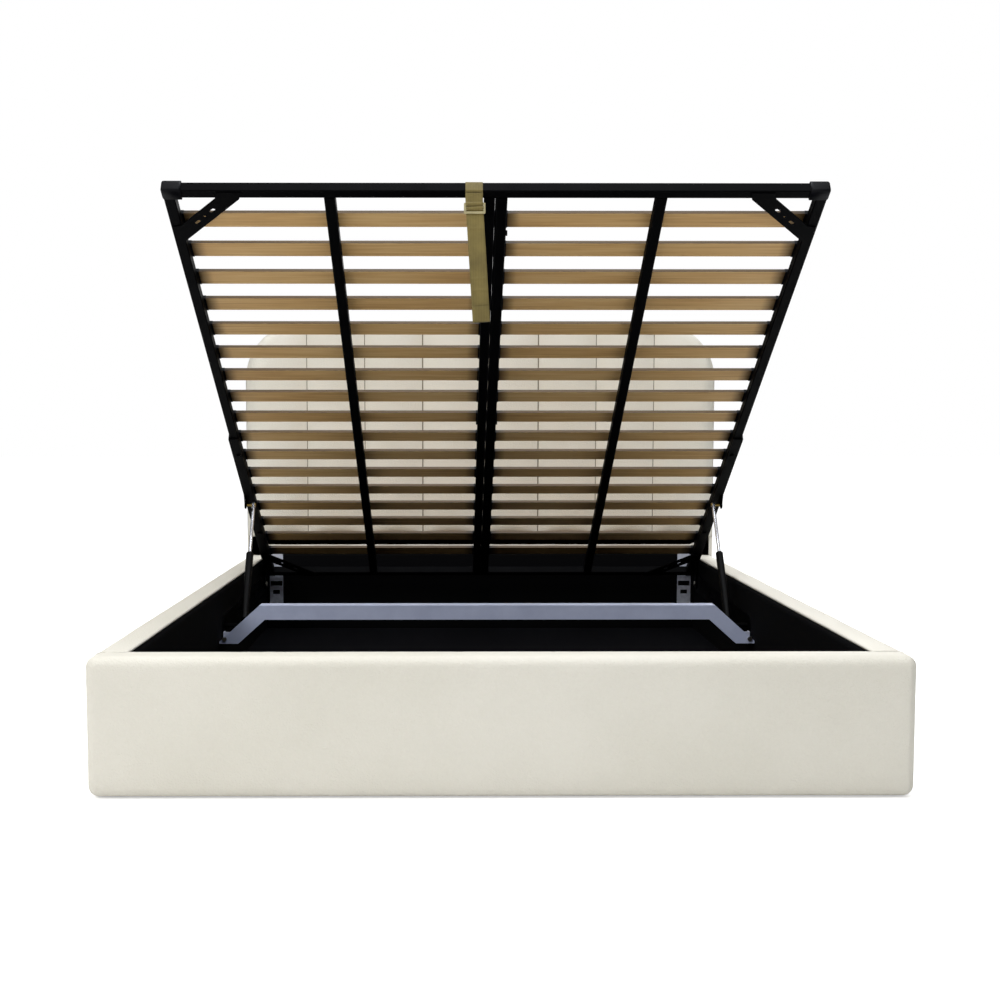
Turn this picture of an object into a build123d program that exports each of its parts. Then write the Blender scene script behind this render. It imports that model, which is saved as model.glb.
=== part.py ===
from build123d import *

import os
from math import atan2, cos, degrees, hypot, radians, sin, tan

os.makedirs("parts", exist_ok=True)

# Ottoman storage bed with its slatted lid raised, at real size in millimetres.
# +X is to the right seen from the foot end, +Y runs to the headboard, +Z is up.
# The origin lies on the floor, under the middle of the whole bed.

# Driving dimensions of the box
bed_width = 1648
box_height = 287
foot_thickness = 66
rail_thickness = 71
storage_head_gap = 74
storage_foot_gap = 25
glide_height = 3
skin_clearance = 0.3
overrun = 60

# Upholstered panels of the box
cover_edge_radius = 16
cover_top_padding = 18
cover_side_padding = 12
cover_base_wrap = 5
lining_thickness = 2
lining_top_drop = 14
core_inner_wrap = 5

# Floor of the storage space
floor_board_thickness = 6
floor_batten_height = 20
floor_batten_width = 70
floor_batten_count = 5
floor_joint_gap = 2
glide_size = 40
glide_inset = 38
glide_row_count = 3

# Headboard
headboard_height = 1100
headboard_step = 4
headboard_corner_radius = 200
headboard_board_thickness = 20
headboard_back_wrap = 5
headboard_edge_wrap = 12
rear_panel_thickness = 20
rear_panel_top = 316
rear_trim_height = 9
channel_count = 8
channel_pitch = 201.5
cushion_bottom = 352
cushion_seam_depth = 19
cushion_crown_depth = 41
cushion_top_round = 38
cushion_bottom_round = 30
cushion_edge_depth = 6

# Steel plates that tie the headboard to the rear panel
tie_plate_width = 47
tie_plate_top = 300
tie_plate_bottom = 60
tie_plate_thickness = 3
tie_plate_inset = 35
tie_slot_width = 41
tie_slot_height = 17
tie_slot_z = 188
tie_window_width = 24
tie_window_height = 14
tie_window_z = 158
tie_bolt_radius = 4
tie_bolt_z = 262
tie_bolt_head_radius = 6
tie_bolt_head_height = 2.5

# Cranked crossbar in the middle of the box
crossbar_setback = 890
crossbar_height = 40
crossbar_depth = 50
crossbar_wall = 2
crossbar_top = 238
crossbar_crank_run = 113
crossbar_slope = 42
crossbar_foot_z = 130
bracket_thickness = 3
bracket_height = 26
bracket_reach = 38
bracket_depth = 22
crossbar_bolt_radius = 4
crossbar_bolt_inset = 14
crossbar_bolt_rise = 13
crossbar_bolt_head_radius = 7
crossbar_bolt_head_height = 4

# Ledge at the foot end and blocks in the front corners
ledge_depth = 70
ledge_top = 236
ledge_height = 24
ledge_end_gap = 60
strap_notch_margin = 30
corner_block_size = 40
corner_block_top = 205

# Hinge of the lid, seen from the side
pivot_setback = 75
pivot_z = 195
opening_angle = 31.83
pin_radius = 5
pin_running_clearance = 0.05
pin_head_radius = 9
pin_head_height = 5
pin_head_gap = 0.4

# Lid frame of square steel tube in two halves
frame_length = 1980
frame_end_margin = 25
frame_head_setback = 30
frame_pivot_rise = 45
tube_size = 25
tube_wall = 1.5
tube_corner = 2
centre_gap = 3
cap_wall = 2.5
cap_reach = 42
cap_length = 27
cap_crown = 5
plug_thickness = 3
gusset_inner_leg = 145
gusset_outer_leg = 90
gusset_thickness = 3
gusset_overlap = 20
gusset_slot_length = 18
gusset_slot_width = 8
gusset_hole_radius = 3.5
gusset_hole_spacing = 28
joining_bolt_radius = 4
joining_bolt_head_radius = 7
joining_bolt_head_height = 4
joining_bolt_shares = (0.15, 0.5, 0.92)

# Slats, in rows on each half
slat_pitch = 106.8
slat_width = 48
slat_thickness = 8
slat_first_offset = 106.6
slat_lift = 2
slat_end_on_side = 8
slat_end_on_centre = 6
holder_width = 52
holder_reach = 9
holder_wall = 2.5
holder_tube_seat = 18

# Lift arms of steel angle, one along each side of the lid
arm_thickness = 4
arm_flange = 28
arm_length = 923
arm_head_end = 8
arm_flange_start = 182
arm_side_clearance = 1
arm_ear_radius = 18
arm_ear_run = 95
strut_ear_run = 45
strut_ear_radius = 12
arm_bolt_radius = 4
arm_bolt_head_radius = 7
arm_bolt_head_height = 4
arm_bolt_shares = (0.36, 0.90)

# Gas struts between the base plates and the arms
strut_plane_inset = 31
strut_pin_along = 555
strut_pin_drop = 20
strut_foot_setback = 830
strut_foot_inset = 58
strut_foot_z = 170
cylinder_radius = 11
cylinder_bore = 9
cylinder_top = 294
cylinder_bottom = 22
cylinder_floor = 6
gland_length = 14
rod_radius = 5
piston_length = 12
piston_clearance = 0.1
rod_inner_end = 238
eye_radius = 9
eye_thickness = 8
eye_neck_radius = 6
eye_neck_start = 7.5
eye_neck_length = 14
strut_pin_radius = 4
stud_neck_radius = 3
stud_band_width = 2
stud_spacer_radius = 6
stud_spacer_start = 5.6
socket_back = 6
socket_floor = 2.5
socket_mouth = 4
stud_clip_radius = 6
stud_clip_thickness = 3
pin_travel_gap = 3.2
face_gap = 0.3

# Steel plates of the lift mechanism on the side rails
base_plate_thickness = 3
base_plate_end_radius = 30
base_plate_slot_length = 70
base_plate_slot_width = 14
base_plate_slot_count = 2

# Pull strap of webbing on the foot tube
strap_place = -49
strap_width = 39
strap_thickness = 2
strap_length = 284
strap_loop_radius = 4.5
strap_lean = 3.5
strap_lean_start = 16
slider_width = 48
slider_height = 24
slider_thickness = 6
slider_drop = 34
slider_bar = 5

# Places worked out from the driving dimensions
storage_length = frame_length + storage_head_gap + storage_foot_gap
overall_length = (
    foot_thickness + storage_length + rear_panel_thickness + headboard_board_thickness + headboard_back_wrap
)
front_y = -overall_length / 2
foot_inner_y = front_y + foot_thickness
rear_face_y = foot_inner_y + storage_length
board_front_y = rear_face_y + rear_panel_thickness
board_back_y = board_front_y + headboard_board_thickness
back_y = board_back_y + headboard_back_wrap
half_width = bed_width / 2
headboard_width = bed_width - 2 * headboard_step
headboard_half = headboard_width / 2
inner_x = half_width - rail_thickness
skin_height = box_height - glide_height
floor_top = glide_height + floor_batten_height + floor_board_thickness

pivot_y = rear_face_y - pivot_setback
crossbar_y = pivot_y - crossbar_setback
crossbar_shoulder = inner_x - crossbar_crank_run
tie_plate_x = inner_x - tie_plate_inset
opening = radians(opening_angle)
head_offset = frame_head_setback * cos(opening) + frame_pivot_rise * sin(opening)
head_rise = frame_pivot_rise * cos(opening) - frame_head_setback * sin(opening)
head_end_y = pivot_y + head_offset
head_end_z = pivot_z + head_rise
frame_half = inner_x - base_plate_thickness - arm_side_clearance - arm_thickness
frame_width = 2 * frame_half
side_tube_x = frame_half - tube_size / 2
centre_tube_x = centre_gap / 2 + tube_size / 2
middle_tube_x = (side_tube_x + centre_tube_x) / 2
long_tube_length = frame_length - 2 * tube_size
strut_x = inner_x - strut_plane_inset
strut_foot_x = inner_x - strut_foot_inset
strut_foot_y = pivot_y - strut_foot_setback
slat_rows = int((frame_length - slat_first_offset - frame_end_margin - slat_width) / slat_pitch) + 1


def deck_point(x, along, lift):
    """A point on the lid: along from its head end, lift above its underside."""
    y = head_end_y - along * cos(opening) + lift * sin(opening)
    z = head_end_z + along * sin(opening) + lift * cos(opening)
    return (x, y, z)


def deck_plane(x=0, along=0, lift=0):
    """A plane level with the lid, its own Y running to the head end."""
    return Plane(origin=deck_point(x, along, lift), x_dir=(1, 0, 0), z_dir=(0, sin(opening), cos(opening)))


def section_plane(x=0, along=0, lift=0):
    """A plane across the lid, its own Y rising from the deck and its normal running to the foot."""
    return Plane(origin=deck_point(x, along, lift), x_dir=(1, 0, 0), z_dir=(0, -cos(opening), sin(opening)))


def profile_plane(x=0, along=0, lift=0):
    """A plane along the lid, its own X running to the foot, its own Y rising from the deck."""
    return Plane(origin=deck_point(x, along, lift), x_dir=(0, -cos(opening), sin(opening)), z_dir=(-1, 0, 0))


def save(builder, name):
    """Label a finished piece and write it under its own name."""
    builder.part.label = name
    export_step(builder.part, f"parts/{name}.step")


# Footboard: a timber core, its padded cover and the black lining inside
def footboard():
    core_depth = foot_thickness - cover_side_padding - core_inner_wrap - lining_thickness
    core_height = skin_height - cover_top_padding - cover_base_wrap
    core_width = bed_width - 2 * cover_side_padding
    core_y = front_y + cover_side_padding + core_depth / 2
    core_base = glide_height + cover_base_wrap

    with BuildPart() as core:
        with BuildSketch(Plane.XY.offset(core_base)):
            with Locations((0, core_y)):
                Rectangle(core_width, core_depth)
        extrude(amount=core_height)
    save(core, "footboard_core")

    with BuildPart() as cover:
        with BuildSketch(Plane.XY.offset(glide_height)):
            with Locations((0, front_y + foot_thickness / 2)):
                Rectangle(bed_width, foot_thickness)
        extrude(amount=skin_height)
        front_edges = cover.faces().sort_by(Axis.Y)[0].edges()
        side_edges = cover.edges().filter_by(Axis.Y)
        fillet(front_edges + side_edges, radius=cover_edge_radius)
        with BuildSketch(Plane.XY.offset(core_base)):
            with Locations((0, core_y)):
                Rectangle(core_width, core_depth)
        extrude(amount=core_height, mode=Mode.SUBTRACT)
        with BuildSketch(Plane.XY.offset(glide_height - overrun)):
            with Locations((0, foot_inner_y)):
                Rectangle(2 * inner_x, 2 * lining_thickness)
        extrude(amount=overrun + skin_height - lining_top_drop, mode=Mode.SUBTRACT)
    save(cover, "footboard_cover")

    with BuildPart() as lining:
        with BuildSketch(Plane.XY.offset(glide_height)):
            with Locations((0, foot_inner_y - lining_thickness / 2)):
                Rectangle(2 * inner_x, lining_thickness)
        extrude(amount=skin_height - lining_top_drop)
    save(lining, "footboard_lining")


# Side rails: the same build as the footboard, from its back face to the headboard
def side_rail(side, hand):
    run = board_front_y - foot_inner_y
    core_depth = rail_thickness - cover_side_padding - core_inner_wrap - lining_thickness
    core_height = skin_height - cover_top_padding - cover_base_wrap
    core_x = side * (half_width - cover_side_padding - core_depth / 2)
    core_base = glide_height + cover_base_wrap
    front_plane = Plane(origin=(0, foot_inner_y, 0), x_dir=(1, 0, 0), z_dir=(0, -1, 0))

    with BuildPart() as core:
        with BuildSketch(front_plane):
            with Locations((core_x, core_base + core_height / 2)):
                Rectangle(core_depth, core_height)
        extrude(amount=-run)
    save(core, f"side_rail_core_{hand}")

    with BuildPart() as cover:
        with BuildSketch(front_plane):
            with Locations((side * (half_width - rail_thickness / 2), glide_height + skin_height / 2)):
                Rectangle(rail_thickness, skin_height)
        extrude(amount=-run)
        outer_edges = cover.edges().filter_by(Axis.Y).group_by(Axis.X)[-1 if side > 0 else 0]
        fillet(outer_edges, radius=cover_edge_radius)
        with BuildSketch(front_plane):
            with Locations((core_x, core_base + core_height / 2)):
                Rectangle(core_depth, core_height)
            with Locations((side * inner_x, glide_height + (skin_height - lining_top_drop - overrun) / 2)):
                Rectangle(2 * lining_thickness, skin_height - lining_top_drop + overrun)
        extrude(amount=-run, mode=Mode.SUBTRACT)
    save(cover, f"side_rail_cover_{hand}")

    with BuildPart() as lining:
        with BuildSketch(front_plane):
            with Locations((
                side * (inner_x + lining_thickness / 2), glide_height + (skin_height - lining_top_drop) / 2
            )):
                Rectangle(lining_thickness, skin_height - lining_top_drop)
        extrude(amount=-run)
    save(lining, f"side_rail_lining_{hand}")


# Floor of the storage space: battens, two loose boards and the glides under the box
def storage_floor():
    batten_run = storage_length - floor_batten_width
    batten_step = batten_run / (floor_batten_count - 1)
    middle_y = (foot_inner_y + rear_face_y) / 2
    board_length = (storage_length - floor_joint_gap) / 2

    with BuildPart() as battens:
        with BuildSketch(Plane.XY.offset(glide_height)):
            with Locations((0, middle_y)):
                with GridLocations(batten_step, batten_step, 1, floor_batten_count):
                    Rectangle(2 * inner_x, floor_batten_width)
        extrude(amount=floor_batten_height)
    save(battens, "floor_battens")

    for end, name in ((-1, "floor_board_foot"), (1, "floor_board_head")):
        with BuildPart() as board:
            with BuildSketch(Plane.XY.offset(glide_height + floor_batten_height)):
                with Locations((0, middle_y + end * (board_length + floor_joint_gap) / 2)):
                    Rectangle(2 * inner_x, board_length)
            extrude(amount=floor_board_thickness)
        save(board, name)

    row_step = batten_run / (glide_row_count - 1)
    with BuildPart() as glides:
        with BuildSketch(Plane.XY):
            with Locations((0, middle_y)):
                with GridLocations(half_width - glide_inset, row_step, 3, glide_row_count):
                    Rectangle(glide_size, glide_size)
        extrude(amount=glide_height)
        chamfer(glides.edges().group_by(Axis.Z)[0], length=glide_height / 4)
    save(glides, "glides")


def headboard_outline(margin):
    """Front view of the headboard, drawn in by a margin all round but for its foot."""
    width = headboard_width - 2 * margin
    top = headboard_height - margin
    corner = headboard_corner_radius - margin
    with BuildSketch(mode=Mode.PRIVATE) as outline:
        with BuildLine():
            Polyline((-width / 2, top - corner), (-width / 2, 0), (width / 2, 0), (width / 2, top - corner))
            RadiusArc((width / 2, top - corner), (width / 2 - corner, top), -corner)
            Line((width / 2 - corner, top), (-width / 2 + corner, top))
            RadiusArc((-width / 2 + corner, top), (-width / 2, top - corner), -corner)
        make_face()
    return outline.sketch


def front_view(y):
    """An upright plane at depth y, its own Y running up and its normal to the foot end."""
    return Plane(origin=(0, y, 0), x_dir=(1, 0, 0), z_dir=(0, -1, 0))


# Headboard: a board, the cushion with its channels and the wrapped back
def headboard():
    board_foot = glide_height + cover_base_wrap
    with BuildPart() as board:
        with BuildSketch(front_view(board_back_y)):
            add(headboard_outline(headboard_edge_wrap))
            with Locations((0, board_foot - overrun / 2)):
                Rectangle(headboard_width, overrun, mode=Mode.SUBTRACT)
            with Locations((0, -overrun)):
                Rectangle(headboard_width, 2 * overrun, mode=Mode.SUBTRACT)
        extrude(amount=headboard_board_thickness)
    save(board, "headboard_board")

    with BuildPart() as back:
        with BuildSketch(front_view(back_y)):
            add(headboard_outline(0))
            with Locations((0, glide_height - overrun)):
                Rectangle(headboard_width, 2 * overrun, mode=Mode.SUBTRACT)
        extrude(amount=headboard_back_wrap + headboard_board_thickness)
        add(board.part, mode=Mode.SUBTRACT)
    save(back, "headboard_back_cover")

    crown_y = board_front_y - cushion_crown_depth
    seam_y = board_front_y - cushion_crown_depth + cushion_seam_depth
    seams = [channel_pitch * (i - channel_count / 2) for i in range(1, channel_count)]
    stops = [-headboard_half] + seams + [headboard_half]
    profile_y = crown_y - skin_clearance
    depths = [board_front_y - cushion_edge_depth] + [seam_y] * len(seams) + [board_front_y - cushion_edge_depth]
    with BuildPart() as cushion:
        with BuildSketch(Plane.XY.offset(cushion_bottom)):
            with BuildLine():
                for i in range(channel_count):
                    middle = (stops[i] + stops[i + 1]) / 2
                    ThreePointArc((stops[i], depths[i]), (middle, crown_y), (stops[i + 1], depths[i + 1]))
                Polyline(
                    (headboard_half, depths[-1]), (headboard_half, board_front_y),
                    (-headboard_half, board_front_y), (-headboard_half, depths[0]),
                )
            make_face()
        extrude(amount=headboard_height - cushion_bottom)
        with BuildSketch(front_view(board_front_y + overrun)):
            add(headboard_outline(0))
        extrude(amount=cushion_crown_depth + 2 * overrun, mode=Mode.INTERSECT)
        with BuildSketch(Plane.YZ.offset(-headboard_half)):
            with BuildLine():
                Polyline(
                    (profile_y + cushion_top_round, headboard_height), (board_front_y, headboard_height),
                    (board_front_y, cushion_bottom), (profile_y + cushion_bottom_round, cushion_bottom),
                )
                RadiusArc(
                    (profile_y + cushion_bottom_round, cushion_bottom),
                    (profile_y, cushion_bottom + cushion_bottom_round), cushion_bottom_round,
                )
                Line((profile_y, cushion_bottom + cushion_bottom_round), (profile_y, headboard_height - cushion_top_round))
                RadiusArc(
                    (profile_y, headboard_height - cushion_top_round),
                    (profile_y + cushion_top_round, headboard_height), cushion_top_round,
                )
            make_face()
        extrude(amount=headboard_width, mode=Mode.INTERSECT)
    save(cushion, "headboard_cushion")


# Rear wall of the box with its pale edge trim and the steel tie plates
def rear_wall():
    panel_base = glide_height + cover_base_wrap
    with BuildPart() as panel:
        with BuildSketch(front_view(board_front_y)):
            with Locations((0, (panel_base + rear_panel_top) / 2)):
                Rectangle(2 * inner_x, rear_panel_top - panel_base)
        extrude(amount=rear_panel_thickness)
    save(panel, "rear_panel")

    with BuildPart() as trim:
        with BuildSketch(front_view(board_front_y)):
            with Locations((0, rear_panel_top + rear_trim_height / 2)):
                Rectangle(2 * inner_x, rear_trim_height)
        extrude(amount=rear_panel_thickness)
        fillet(trim.edges().filter_by(Axis.X).group_by(Axis.Z)[-1], radius=rear_trim_height / 3)
    save(trim, "rear_panel_trim")

    with BuildPart() as plates:
        with BuildSketch(front_view(rear_face_y)):
            with GridLocations(2 * tie_plate_x, 0, 2, 1):
                with Locations((0, (tie_plate_top + tie_plate_bottom) / 2)):
                    Rectangle(tie_plate_width, tie_plate_top - tie_plate_bottom)
                with Locations((0, tie_slot_z)):
                    Rectangle(tie_slot_width, tie_slot_height, mode=Mode.SUBTRACT)
                with Locations((0, tie_window_z)):
                    Rectangle(tie_window_width, tie_window_height, mode=Mode.SUBTRACT)
                with Locations((0, tie_bolt_z)):
                    Circle(tie_bolt_radius, mode=Mode.SUBTRACT)
        extrude(amount=tie_plate_thickness)
    save(plates, "headboard_tie_plates")

    with BuildPart() as bolts:
        with BuildSketch(front_view(rear_face_y)):
            with Locations((-tie_plate_x, tie_bolt_z), (tie_plate_x, tie_bolt_z)):
                Circle(tie_bolt_radius)
        extrude(amount=tie_plate_thickness)
        with BuildSketch(front_view(rear_face_y - tie_plate_thickness)):
            with Locations((-tie_plate_x, tie_bolt_z), (tie_plate_x, tie_bolt_z)):
                RegularPolygon(tie_bolt_head_radius, 6)
        extrude(amount=tie_bolt_head_height)
    save(bolts, "tie_plate_bolts")


# Crossbar: one rectangular steel tube, cranked down at both ends
def crossbar_points(inset, foot_z):
    """Half outline of the cranked tube from the middle out, drawn in by an inset."""
    slope = radians(crossbar_slope)
    lean = tan(slope / 2)
    top = crossbar_top - inset
    bottom = crossbar_top - crossbar_height + inset
    shoulder = crossbar_shoulder - inset * lean
    elbow = crossbar_shoulder - (crossbar_height - inset) * lean
    outer_foot = shoulder + (top - foot_z) / tan(slope)
    inner_foot = elbow + (bottom - foot_z) / tan(slope)
    return [(0, top), (shoulder, top), (outer_foot, foot_z), (inner_foot, foot_z), (elbow, bottom), (0, bottom)]


def crossbar_parts():
    bar_front_y = crossbar_y - crossbar_depth / 2
    bar_back_y = bar_front_y + crossbar_depth
    end_x = inner_x - skin_clearance

    with BuildPart() as bar:
        with BuildSketch(front_view(bar_back_y)):
            Polygon(*crossbar_points(0, crossbar_foot_z), align=None)
            mirror(about=Plane.YZ)
            for side in (-1, 1):
                with Locations((side * (end_x + overrun / 2), crossbar_foot_z)):
                    Rectangle(overrun, 2 * overrun, mode=Mode.SUBTRACT)
        extrude(amount=crossbar_depth)
        with BuildSketch(front_view(bar_back_y - crossbar_wall)):
            Polygon(*crossbar_points(crossbar_wall, crossbar_foot_z - overrun), align=None)
            mirror(about=Plane.YZ)
        extrude(amount=crossbar_depth - 2 * crossbar_wall, mode=Mode.SUBTRACT)
        for side in (-1, 1):
            with BuildSketch(front_view(bar_back_y)):
                with Locations((side * (end_x - crossbar_bolt_inset), crossbar_foot_z + crossbar_bolt_rise)):
                    Circle(crossbar_bolt_radius)
            extrude(amount=crossbar_depth, mode=Mode.SUBTRACT)
    save(bar, "crossbar")

    wall_x = inner_x - base_plate_thickness
    with BuildPart() as brackets:
        for side in (-1, 1):
            with BuildSketch(front_view(bar_back_y + bracket_thickness)):
                with Locations((side * (wall_x - bracket_reach / 2), crossbar_foot_z + bracket_height / 2)):
                    Rectangle(bracket_reach, bracket_height)
            extrude(amount=bracket_thickness)
            with BuildSketch(Plane.XY.offset(crossbar_foot_z)):
                with Locations((side * (wall_x - bracket_thickness / 2), bar_back_y + bracket_depth / 2)):
                    Rectangle(bracket_thickness, bracket_depth)
            extrude(amount=bracket_height)
        for side in (-1, 1):
            with BuildSketch(front_view(bar_back_y + bracket_thickness)):
                with Locations((side * (end_x - crossbar_bolt_inset), crossbar_foot_z + crossbar_bolt_rise)):
                    Circle(crossbar_bolt_radius)
            extrude(amount=bracket_thickness, mode=Mode.SUBTRACT)
    save(brackets, "crossbar_brackets")

    with BuildPart() as bolts:
        for side in (-1, 1):
            centre = (side * (end_x - crossbar_bolt_inset), crossbar_foot_z + crossbar_bolt_rise)
            with BuildSketch(front_view(bar_back_y + bracket_thickness)):
                with Locations(centre):
                    Circle(crossbar_bolt_radius)
            extrude(amount=crossbar_depth + bracket_thickness)
            with BuildSketch(front_view(bar_front_y)):
                with Locations(centre):
                    RegularPolygon(crossbar_bolt_head_radius, 6)
            extrude(amount=crossbar_bolt_head_height)
            with BuildSketch(front_view(bar_back_y + bracket_thickness)):
                with Locations(centre):
                    RegularPolygon(crossbar_bolt_head_radius, 6)
            extrude(amount=-crossbar_bolt_head_height)
    save(bolts, "crossbar_bolts")


# Foot ledge for the closed lid and the blocks that join the front corners
def foot_supports():
    notch_width = strap_width + 2 * strap_notch_margin
    with BuildPart() as ledge:
        with BuildSketch(Plane.XY.offset(ledge_top - ledge_height)):
            with Locations((0, foot_inner_y + ledge_depth / 2)):
                Rectangle(2 * (inner_x - ledge_end_gap), ledge_depth)
            with Locations((strap_place, foot_inner_y + ledge_depth / 2)):
                Rectangle(notch_width, ledge_depth, mode=Mode.SUBTRACT)
        extrude(amount=ledge_height)
        chamfer(ledge.edges().filter_by(Axis.X).group_by(Axis.Z)[-1].sort_by(Axis.Y)[-2:], length=ledge_height / 6)
    save(ledge, "foot_ledge")

    with BuildPart() as blocks:
        with BuildSketch(Plane.XY.offset(floor_top)):
            for side in (-1, 1):
                corner_x = side * inner_x
                Polygon(
                    (corner_x, foot_inner_y), (corner_x - side * corner_block_size, foot_inner_y),
                    (corner_x, foot_inner_y + corner_block_size), align=None,
                )
        extrude(amount=corner_block_top - floor_top)
    save(blocks, "corner_blocks")


def side_view(x):
    """An upright plane at width x, its own X running to the headboard, its normal to +X."""
    return Plane(origin=(x, 0, 0), x_dir=(0, 1, 0), z_dir=(1, 0, 0))


def strut_line(side):
    """A strut's foot, its upper pin and the way it swings about, pointing outwards."""
    foot = Vector(side * strut_foot_x, strut_foot_y, strut_foot_z)
    pin = Vector(*deck_point(side * strut_x, strut_pin_along, -strut_pin_drop))
    out = pin.Y - pivot_y
    up = pin.Z - pivot_z
    closed_y = pivot_y + out * cos(opening) - up * sin(opening)
    closed_z = pivot_z + out * sin(opening) + up * cos(opening)
    closed = Vector(side * strut_x, closed_y, closed_z)
    swing = (closed - foot).cross(pin - foot).normalized() * side
    return foot, pin, swing


# Base plates of the lift mechanism, with the lid's hinge pins and the struts' studs
def base_plates():
    pivot = (pivot_y, pivot_z)
    foot = (strut_foot_y, strut_foot_z)
    run = hypot(pivot[0] - foot[0], pivot[1] - foot[1])
    tilt = degrees(atan2(pivot[1] - foot[1], pivot[0] - foot[0]))
    middle = ((pivot[0] + foot[0]) / 2, (pivot[1] + foot[1]) / 2)
    slot_step = run / (base_plate_slot_count + 1)

    for side, hand in ((-1, "left"), (1, "right")):
        with BuildPart() as plate:
            with BuildSketch(side_view(side * inner_x)):
                with Locations(middle):
                    SlotCenterToCenter(run, 2 * base_plate_end_radius, rotation=tilt)
                    with Locations(Rotation(0, 0, tilt)):
                        with GridLocations(slot_step, 0, base_plate_slot_count, 1):
                            SlotOverall(base_plate_slot_length, base_plate_slot_width, mode=Mode.SUBTRACT)
                with Locations(pivot):
                    Circle(pin_radius, mode=Mode.SUBTRACT)
            extrude(amount=-side * base_plate_thickness)
        save(plate, f"base_plate_{hand}")

    with BuildPart() as pins:
        for side in (-1, 1):
            with BuildSketch(side_view(side * inner_x)):
                with Locations(pivot):
                    Circle(pin_radius)
            extrude(amount=-side * (inner_x - frame_half + pin_head_gap))
            with BuildSketch(side_view(side * (frame_half - pin_head_gap))):
                with Locations(pivot):
                    RegularPolygon(pin_head_radius, 6)
            extrude(amount=-side * pin_head_height)
    save(pins, "hinge_pins")

    plate_x = inner_x - base_plate_thickness
    with BuildPart() as studs:
        for side in (-1, 1):
            end, _, swing = strut_line(side)
            with BuildSketch(Plane(origin=end - swing * stud_band_width / 2, z_dir=swing)):
                Circle(strut_pin_radius)
            extrude(amount=stud_band_width)
            with BuildSketch(side_view(side * strut_foot_x)):
                with Locations(foot):
                    Circle(stud_neck_radius)
            extrude(amount=side * stud_spacer_start)
            with BuildSketch(side_view(side * (strut_foot_x + stud_spacer_start))):
                with Locations(foot):
                    RegularPolygon(stud_spacer_radius, 6)
            extrude(amount=side * (plate_x - strut_foot_x - stud_spacer_start))
    save(studs, "strut_studs")


def tube(plane, length):
    """One length of square steel tube with an open bore."""
    with BuildPart() as piece:
        with BuildSketch(plane):
            Rectangle(tube_size, tube_size)
            chamfer(vertices(), length=tube_corner)
            Rectangle(tube_size - 2 * tube_wall, tube_size - 2 * tube_wall, mode=Mode.SUBTRACT)
        extrude(amount=length)
    return piece


# Lid frame: end tubes, side tubes, middle bars and the paired centre bars
def lid_frame():
    half = tube_size / 2
    foot_y = frame_length - half
    for side, hand in ((-1, "left"), (1, "right")):
        across = Plane(
            origin=deck_point(0, foot_y, half), x_dir=(0, sin(opening), cos(opening)), z_dir=(side, 0, 0)
        )
        save(tube(across, frame_half), f"foot_tube_{hand}")
        across = Plane(
            origin=deck_point(0, half, half), x_dir=(0, sin(opening), cos(opening)), z_dir=(side, 0, 0)
        )
        save(tube(across, frame_half - tube_size), f"head_tube_{hand}")
        side_start = section_plane(side * side_tube_x, 0, half)
        save(tube(side_start, frame_length - tube_size), f"side_tube_{hand}")
        for place, name in ((middle_tube_x, "middle_bar"), (centre_tube_x, "centre_bar")):
            bar_start = section_plane(side * place, tube_size, half)
            save(tube(bar_start, long_tube_length), f"{name}_{hand}")

    with BuildPart() as caps:
        for side in (-1, 1):
            reach = cap_reach + cap_wall
            cap_x = side * (frame_half + cap_wall - reach / 2)
            with BuildSketch(section_plane(cap_x, frame_length - cap_length, half)):
                Rectangle(reach, tube_size + 2 * cap_wall)
            extrude(amount=cap_length + cap_crown)
        foot_way = Axis((0, 0, 0), (0, -cos(opening), sin(opening)))
        chamfer(caps.edges().filter_by(foot_way), length=cap_wall)
        chamfer(caps.faces().filter_by(foot_way).sort_by(foot_way)[-2:].edges(), length=cap_wall / 2)
        for side in (-1, 1):
            with BuildSketch(section_plane(side * side_tube_x, -overrun, half)):
                Rectangle(tube_size, tube_size)
            extrude(amount=overrun + frame_length, mode=Mode.SUBTRACT)
        with BuildSketch(section_plane(0, frame_length - tube_size, half)):
            Rectangle(frame_width, tube_size)
        extrude(amount=tube_size, mode=Mode.SUBTRACT)
        for side in (-1, 1):
            with BuildSketch(section_plane(side * side_tube_x, 0, half)):
                Rectangle(tube_size, tube_size)
            extrude(amount=-plug_thickness)
    save(caps, "corner_caps")


# Gussets: flat slotted braces welded under the four corners
def gussets():
    inner, outer, lap = gusset_inner_leg, gusset_outer_leg, gusset_overlap
    flare = (inner - outer) / 10
    outline = [
        (-lap, outer + flare), (0, outer), (outer, 0), (outer + flare, -lap),
        (inner + flare, -lap), (inner, 0), (0, inner), (-lap, inner + flare),
    ]
    corner_x = frame_half - tube_size
    middle_leg = (inner + outer) / 4
    for side, hand in ((-1, "left"), (1, "right")):
        with BuildPart() as pair:
            for end in (-1, 1):
                along = tube_size if end < 0 else frame_length - tube_size
                points = [(side * (corner_x - u), -along + end * v) for u, v in outline]
                centre = (side * (corner_x - middle_leg), -along + end * middle_leg)
                with BuildSketch(deck_plane(0, 0, 0)):
                    Polygon(*points, align=None)
                    with Locations(Location((centre[0], centre[1], 0), (0, 0, side * end * 45))):
                        Circle(gusset_hole_radius, mode=Mode.SUBTRACT)
                        with Locations((gusset_hole_spacing, 0), (-gusset_hole_spacing, 0)):
                            SlotOverall(gusset_slot_length, gusset_slot_width, mode=Mode.SUBTRACT)
                extrude(amount=-gusset_thickness)
        save(pair, f"gussets_{hand}")


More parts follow.
